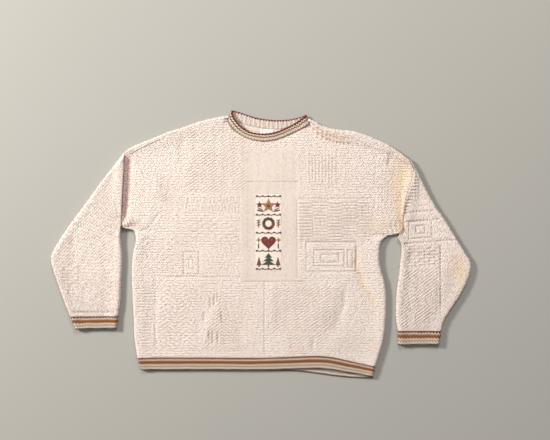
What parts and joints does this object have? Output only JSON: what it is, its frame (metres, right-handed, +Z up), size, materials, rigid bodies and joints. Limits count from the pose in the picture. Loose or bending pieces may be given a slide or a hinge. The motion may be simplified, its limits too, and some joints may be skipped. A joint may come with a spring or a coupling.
{
  "type": "christmas sweater",
  "caption": "Ivory textured-knit crew-neck Christmas sweater laid flat, with striped collar, hem and cuffs and an embroidered front strip.",
  "frame": {"origin": "middle of the garment's footprint, on the surface that it lies on", "axes": "+X across the garment from the sleeve that is left in the picture to the one that is right, +Y from the hem to the neck, +Z up out of the front"},
  "size_m": [0.9306, 0.5946, 0.0126],
  "materials": {
    "ivory_knit": "matte cotton knit with raised pattern blocks",
    "striped_band": "matte purl-ridged knit in maroon, cream, golden brown and grey-green stripes",
    "woven_label": "smooth blank woven tape"
  },
  "bodies": {
    "root": {"front": "ivory_knit", "back": "ivory_knit", "sleeve_left": "ivory_knit", "sleeve_right": "ivory_knit", "collar": "striped_band", "hem_band": "striped_band", "cuff_left": "striped_band", "cuff_right": "striped_band", "neck_label": "woven_label"}
  },
  "joints": []
}
